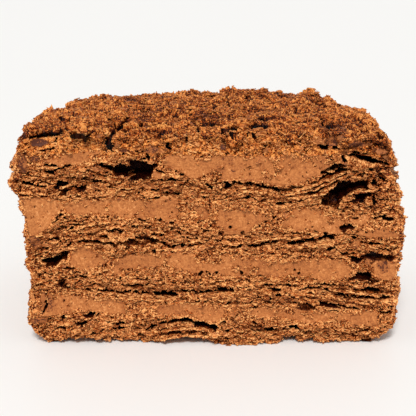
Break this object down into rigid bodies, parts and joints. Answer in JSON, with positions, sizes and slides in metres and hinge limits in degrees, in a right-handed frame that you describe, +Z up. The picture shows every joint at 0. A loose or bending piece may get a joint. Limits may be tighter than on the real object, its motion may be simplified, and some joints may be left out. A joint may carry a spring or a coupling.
{
  "type": "napoleon cake",
  "caption": "Block of chocolate napoleon cake with a cut face: flaky pastry and chocolate cream in turn, under a rounded crumb crust.",
  "frame": {"origin": "middle of the bounding box, at the flat underside that the cake stands on", "axes": "+Z up, +X to the right along the cut face, +Y from the cut face into the cake"},
  "size_m": [0.1372, 0.095, 0.0797],
  "materials": {
    "pastry": "matte, flaky, dry chocolate puff pastry",
    "cream": "matte, smooth chocolate cream with crumbs in it",
    "crumb_crust": "matte, coarse crumbs of chocolate puff pastry"
  },
  "bodies": {
    "root": {"pastry_1": "pastry", "cream_1": "cream", "pastry_2": "pastry", "cream_2": "cream", "pastry_3": "pastry", "cream_3": "cream", "pastry_4": "pastry", "cream_4": "cream", "crumb_crust": "crumb_crust"}
  },
  "joints": []
}
